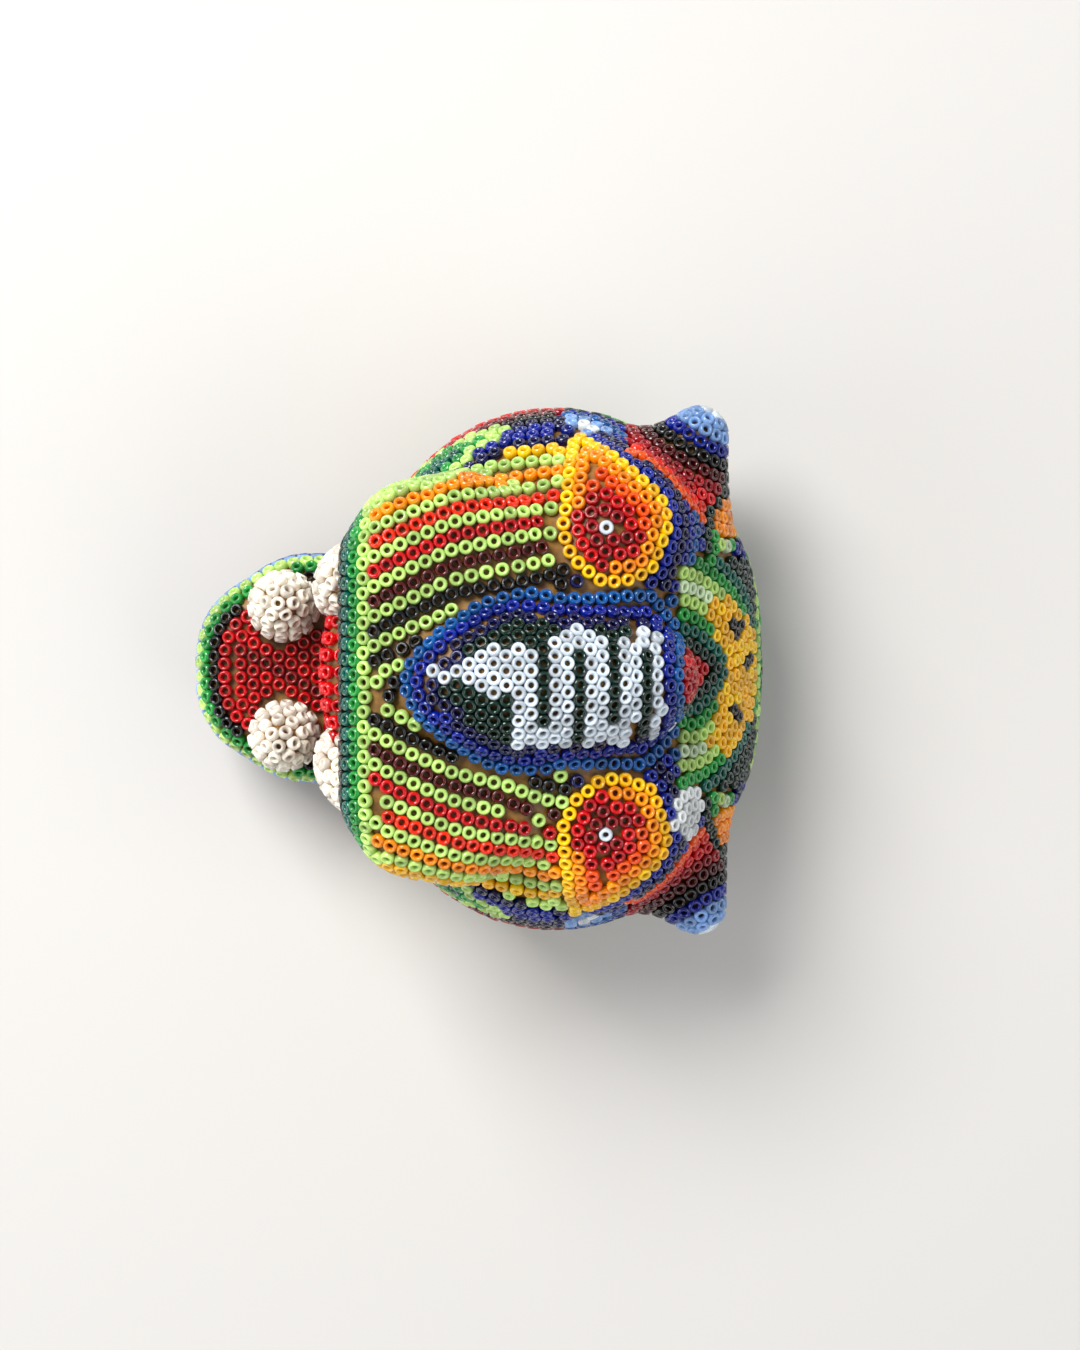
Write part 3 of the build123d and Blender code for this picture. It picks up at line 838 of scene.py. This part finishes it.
def bead_material(name, colour, shade):
    tone = tuple(min(255, max(0, c * shade)) for c in colour)
    material, shader = plain_material(f"bead_{name}_{round(shade * 100)}", tone, 0.16)
    shader.inputs["Coat Weight"].default_value = 0.3
    shader.inputs["Coat Roughness"].default_value = 0.06
    shader.inputs["IOR"].default_value = 1.52
    if name not in OPAQUE:
        shader.inputs["Transmission Weight"].default_value = 0.12
    return material


SHADES = (0.9, 1.0, 1.08)
BEAD_MATERIALS = {(name, shade): bead_material(name, colour, shade)
                  for name, colour in COLOURS.items() for shade in SHADES}


def mottled(name, dark, light, scale, stretch, roughness, bump):
    """A material whose colour and height follow stretched noise."""
    material, shader = plain_material(name, dark, roughness)
    tree = material.node_tree
    place = tree.nodes.new("ShaderNodeTexCoord")
    mapping = tree.nodes.new("ShaderNodeMapping")
    mapping.inputs["Scale"].default_value = stretch
    noise = tree.nodes.new("ShaderNodeTexNoise")
    noise.inputs["Scale"].default_value = scale
    noise.inputs["Detail"].default_value = 5
    ramp = tree.nodes.new("ShaderNodeValToRGB")
    ramp.color_ramp.elements[0].position = 0.35
    ramp.color_ramp.elements[0].color = linear(dark)
    ramp.color_ramp.elements[1].position = 0.65
    ramp.color_ramp.elements[1].color = linear(light)
    height = tree.nodes.new("ShaderNodeBump")
    height.inputs["Strength"].default_value = bump
    height.inputs["Distance"].default_value = 0.0003
    tree.links.new(place.outputs["Object"], mapping.inputs["Vector"])
    tree.links.new(mapping.outputs["Vector"], noise.inputs["Vector"])
    tree.links.new(noise.outputs["Fac"], ramp.inputs["Fac"])
    tree.links.new(ramp.outputs["Color"], shader.inputs["Base Color"])
    tree.links.new(noise.outputs["Fac"], height.inputs["Height"])
    tree.links.new(height.outputs["Normal"], shader.inputs["Normal"])
    return material


WAX = mottled("wax", (0x6A, 0x46, 0x18), (0x96, 0x6C, 0x2C), 500, (1, 1, 1), 0.45, 0.3)
WOOD = mottled("carved_wood", (0x9A, 0x6A, 0x3E), (0xC4, 0x98, 0x68), 160, (1, 1, 8), 0.6, 0.4)
PLUG = mottled("plug_wood", (0x8A, 0x5C, 0x34), (0xB4, 0x84, 0x54), 160, (8, 1, 1), 0.55, 0.4)
SEED = mottled("seed", (0x3A, 0x22, 0x14), (0x6A, 0x42, 0x26), 700, (1, 1, 1), 0.4, 0.5)


# ======== meshes ========
def finish_piece(name, points, faces, material, slot, replaced):
    mesh = bpy.data.meshes.new(name)
    mesh.from_pydata((np.asarray(points) * MM).tolist(), [], np.asarray(faces).tolist())
    mesh.materials.append(material)
    mesh.polygons.foreach_set("use_smooth", [True] * len(mesh.polygons))
    piece = bpy.data.objects.new(name, mesh)
    bpy.context.scene.collection.objects.link(piece)
    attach(piece, "head")
    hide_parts(*replaced)
    return piece


def bead_shape():
    """A short ring with round edges, as points (radius, angle, height) and its faces."""
    middle = (BEAD_RADIUS + HOLE_RADIUS) / 2
    half_width = (BEAD_RADIUS - HOLE_RADIUS) / 2
    points = []
    for i in range(BEAD_SEGMENTS):
        a = 2 * math.pi * i / BEAD_SEGMENTS
        for j in range(BEAD_SECTION):
            b = 2 * math.pi * (j + 0.5) / BEAD_SECTION
            corner = abs(math.cos(b)) ** BEAD_SQUARENESS + abs(math.sin(b)) ** BEAD_SQUARENESS
            fullness = corner ** (-1 / BEAD_SQUARENESS)
            r = middle + half_width * math.cos(b) * fullness
            points.append((r * math.cos(a), r * math.sin(a),
                           BEAD_HALF_HEIGHT * math.sin(b) * fullness))
    faces = []
    for i in range(BEAD_SEGMENTS):
        for j in range(BEAD_SECTION):
            k, m = (i + 1) % BEAD_SEGMENTS, (j + 1) % BEAD_SECTION
            faces.append((i * BEAD_SECTION + j, k * BEAD_SECTION + j, k * BEAD_SECTION + m,
                          i * BEAD_SECTION + m))
    return np.array(points), np.array(faces)


RING_POINTS, RING_FACES = bead_shape()


def turned_to(normal):
    """A rotation that takes Z to the normal, with a random turn about it."""
    z = normal / length(normal)
    x = np.cross(z, (0.3, 0.9, 0.2))
    x /= length(x)
    y = np.cross(z, x)
    a = chance.uniform(0, 2 * math.pi)
    return np.stack([x * math.cos(a) + y * math.sin(a), y * math.cos(a) - x * math.sin(a), z], -1)


def make_beads(cover, node_of, slot_of):
    """One piece for each colour in each CAD field of beads."""
    points = np.array(cover.points)
    normals = normals_of(cover.distance, points)
    groups = {}
    for p, n, colour in zip(points, normals, cover.colours):
        shade = chance.choice(SHADES)
        tilt = np.array([chance.gauss(0, BEAD_TILT) for _ in range(3)])
        size = chance.uniform(*BEAD_SIZES)
        centre = p - n * (BEAD_HALF_HEIGHT + chance.uniform(0.0, BEAD_SINK))
        ring = RING_POINTS * (size, size, 1) @ turned_to(n + tilt).T + centre
        groups.setdefault((node_of(p), colour, shade), []).append(ring)
    for (node, colour, shade), rings in sorted(groups.items()):
        starts = np.arange(len(rings)) * len(RING_POINTS)
        faces = (RING_FACES[None] + starts[:, None, None]).reshape(-1, 4)
        finish_piece(f"{node}_{colour}_{round(shade * 100)}", np.concatenate(rings), faces,
                     BEAD_MATERIALS[colour, shade], slot_of(node), [node])


SIDED = ("eye", "whisker", "cheek", "temple", "ear", "pupil")


def head_node(p):
    name = str(field_of(np.array([p]))[0])
    if name == "eye" and math.dist((p[0], abs(p[1])), PUPIL_CENTRE) < PUPIL_RADIUS:
        name = "pupil"
    side = "right" if p[1] > 0 else "left"
    if name == "pupil":
        return f"pupil_bead_{side}"
    return f"{name}_beads_{side}" if name in SIDED else f"{name}_beads"


def head_slot(node):
    name = node.split("_beads")[0].split("_bead")[0]
    return "mouth_beads" if name in ("jaw_floor", "palate") else f"{name}_beads"


make_beads(head_cover, head_node, head_slot)
for name, cover in covers.items():
    slot = "mouth_beads" if name == "gum" else "fang_beads"
    make_beads(cover, lambda p, n=name: f"{n}_beads", lambda node, s=slot: s)


# ======== the wax between the beads ========
wax_points, wax_quads = surface(whole, WAX_LEVEL, HEAD_LOW, HEAD_HIGH, GRID)
wax_quads = wax_quads[(wax_points[wax_quads][:, :, 2] > SKIRT).all(1)]
centres = wax_points[wax_quads].mean(1)
on_ear = ear(centres) < head(centres)
on_jaw = (centres[:, 0] < JAW_JOINT) & (centres[:, 2] < JAW_JOINT_TOP)
above_seam = centres[:, 2] > SEAM
wax_parts = {
    "ear_wax_right": on_ear & (centres[:, 1] > 0),
    "ear_wax_left": on_ear & (centres[:, 1] < 0),
    "jaw_wax": ~on_ear & on_jaw,
    "skull_wax_top": ~on_ear & ~on_jaw & above_seam,
    "skull_wax_base": ~on_ear & ~on_jaw & ~above_seam,
}
for name, chosen in wax_parts.items():
    quads = wax_quads[chosen]
    used, numbers = np.unique(quads, return_inverse=True)
    piece = finish_piece(f"{name}_layer", wax_points[used], numbers.reshape(quads.shape), WAX,
                         "wax", [name])
    shell = piece.modifiers.new("thickness", "SOLIDIFY")
    shell.thickness = WAX_THICKNESS * MM
    shell.offset = -1

# ======== finishes of the CAD's own nodes ========
for name, node in nodes.items():
    if "_core" in name:
        material, slot = WOOD, "carved_wood"
    elif name == "base_plug":
        material, slot = PLUG, "plug_wood"
    elif name.startswith("seed"):
        material, slot = SEED, "seed"
    elif "_wax" in name:
        material, slot = WAX, "wax"
    else:
        continue
    node.data.materials.clear()
    node.data.materials.append(material)

# ======== floor, light and camera ========
bpy.ops.mesh.primitive_plane_add(size=3, location=(0, 0, 0))
floor = bpy.context.object
floor.name = "floor"
floor.data.materials.append(plain_material("pale_floor", (0xD8, 0xD5, 0xD0), 0.8)[0])


def area_light(name, place, size, power):
    light = bpy.data.lights.new(name, "AREA")
    light.size = size
    light.energy = power
    lamp = bpy.data.objects.new(name, light)
    lamp.location = place
    lamp.rotation_euler = (-Vector(place)).to_track_quat("-Z", "Y").to_euler()
    bpy.context.scene.collection.objects.link(lamp)


area_light("key_light", (-0.35, 0.45, 0.6), 0.4, 8)
area_light("fill_light", (0.6, -0.3, 0.5), 0.7, 2.5)
area_light("front_light", (-0.6, -0.3, 0.3), 0.6, 2)
world = bpy.data.worlds.new("studio")
world.use_nodes = True
world.node_tree.nodes["Background"].inputs["Color"].default_value = (0.9, 0.93, 1, 1)
world.node_tree.nodes["Background"].inputs["Strength"].default_value = 0.3
bpy.context.scene.world = world
bpy.context.scene.view_settings.view_transform = "Standard"

CAMERA_PLACE = np.array((-2.2, 25.2, 449))
CAMERA_AIM = np.array((-2.2, -0.06, 30))
LENS = 78.2
ahead = (CAMERA_AIM - CAMERA_PLACE) / length(CAMERA_AIM - CAMERA_PLACE)
right = np.cross(ahead, (0, 1, 0))
right /= length(right)
camera = bpy.data.objects.new("camera", bpy.data.cameras.new("camera"))
camera.data.lens = LENS
camera.data.clip_start = 0.01
turn = Matrix(np.stack([right, np.cross(right, ahead), -ahead], -1).tolist()).to_4x4()
camera.matrix_world = Matrix.Translation((CAMERA_PLACE * MM).tolist()) @ turn
bpy.context.scene.collection.objects.link(camera)
bpy.context.scene.camera = camera
